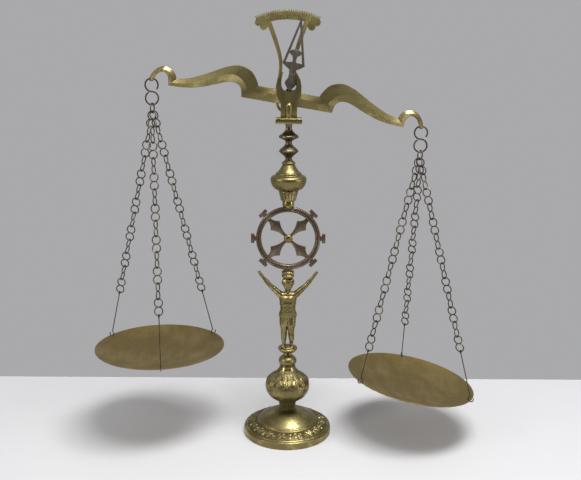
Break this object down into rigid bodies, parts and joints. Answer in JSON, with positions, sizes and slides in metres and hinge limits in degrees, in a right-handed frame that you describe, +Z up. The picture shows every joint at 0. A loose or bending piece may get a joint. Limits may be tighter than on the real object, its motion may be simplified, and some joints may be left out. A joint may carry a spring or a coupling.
{
  "type": "balance scale",
  "caption": "Tall brass equal-arm balance on a round foot: turned column with a figure and a wheel, scrolled beam, pointer, toothed dial and two pans hung on chains.",
  "frame": {"origin": "under the middle of the round foot, on the surface it stands on", "axes": "+Z up the column, +X to the viewer's right along the beam, +Y away from the viewer, through the knife edge"},
  "size_m": [0.5119, 0.1779, 0.561],
  "materials": {
    "cast_brass": "aged, polished on the high spots",
    "dark_brass": "browned",
    "pan_brass": "satin, aged, faint grey spots",
    "pointer_metal": "tarnished",
    "chain_wire": "dark, oxidised",
    "fixings": "dull"
  },
  "bodies": {
    "stand": {"base_foot": "cast_brass", "base_washer": "fixings", "base_nut": "fixings", "lower_tie_rod": "fixings", "lower_collar": "cast_brass", "lower_bulb": "cast_brass", "lower_knop": "cast_brass", "figure_plinth": "cast_brass", "figure": "cast_brass", "head_ring": "cast_brass", "wheel_ring": "dark_brass", "wheel_lugs": "dark_brass", "wheel_cross": "dark_brass", "wheel_boss": "cast_brass", "wheel_socket": "cast_brass", "upper_cup": "cast_brass", "upper_bulb": "cast_brass", "bell_cap": "cast_brass", "spindle": "cast_brass", "upper_tie_rod": "fixings", "yoke_plate": "cast_brass", "yoke_block": "cast_brass", "front_cheek": "cast_brass", "rear_cheek": "cast_brass", "dial": "cast_brass", "yoke_screws": "fixings"},
    "beam": {"beam": "cast_brass", "knife_edge": "pointer_metal", "pointer": "pointer_metal", "pointer_pin": "pointer_metal"},
    "left_hook_body": {"left_hook": "chain_wire"},
    "left_ring_body": {"left_ring": "chain_wire"},
    "left_pan_body": {"left_chain_front": "chain_wire", "left_chain_left": "chain_wire", "left_chain_right": "chain_wire", "left_pan_wires": "chain_wire", "left_pan": "pan_brass"},
    "right_hook_body": {"right_hook": "chain_wire"},
    "right_ring_body": {"right_ring": "chain_wire"},
    "right_pan_body": {"right_chain_back": "chain_wire", "right_chain_left": "chain_wire", "right_chain_right": "chain_wire", "right_pan_wires": "chain_wire", "right_pan": "pan_brass"}
  },
  "joints": [
    {"name": "beam_tilt", "type": "hinge", "parent": "stand", "child": "beam", "pos_m": [0, 0, 0.461], "axis": [0, 1, 0], "range_deg": [-19.2, 0]},
    {"name": "left_hook_swing", "type": "hinge", "parent": "beam", "child": "left_hook_body", "pos_m": [-0.1726, 0, 0.4764], "axis": [0, 1, 0], "range_deg": [0, 19.2]},
    {"name": "left_ring_swing", "type": "hinge", "parent": "left_hook_body", "child": "left_ring_body", "pos_m": [-0.1726, 0, 0.4436], "axis": [0.9063, 0.4226, 0], "range_deg": [-8, 8]},
    {"name": "left_pan_swing", "type": "hinge", "parent": "left_ring_body", "child": "left_pan_body", "pos_m": [-0.1726, 0, 0.43375], "axis": [0.225, 0.9744, 0], "range_deg": [-8, 8]},
    {"name": "right_hook_swing", "type": "hinge", "parent": "beam", "child": "right_hook_body", "pos_m": [0.16816, 0, 0.41877], "axis": [0, 1, 0], "range_deg": [0, 19.2]},
    {"name": "right_ring_swing", "type": "hinge", "parent": "right_hook_body", "child": "right_ring_body", "pos_m": [0.16816, 0, 0.38597], "axis": [1, 0, 0], "range_deg": [-8, 8]},
    {"name": "right_pan_swing", "type": "hinge", "parent": "right_ring_body", "child": "right_pan_body", "pos_m": [0.16816, 0, 0.37612], "axis": [0.6157, 0.788, 0], "range_deg": [-8, 8]}
  ],
  "couplings": [
    {"joint": "left_hook_swing", "follows": "beam_tilt", "ratio": -1},
    {"joint": "right_hook_swing", "follows": "beam_tilt", "ratio": -1}
  ]
}
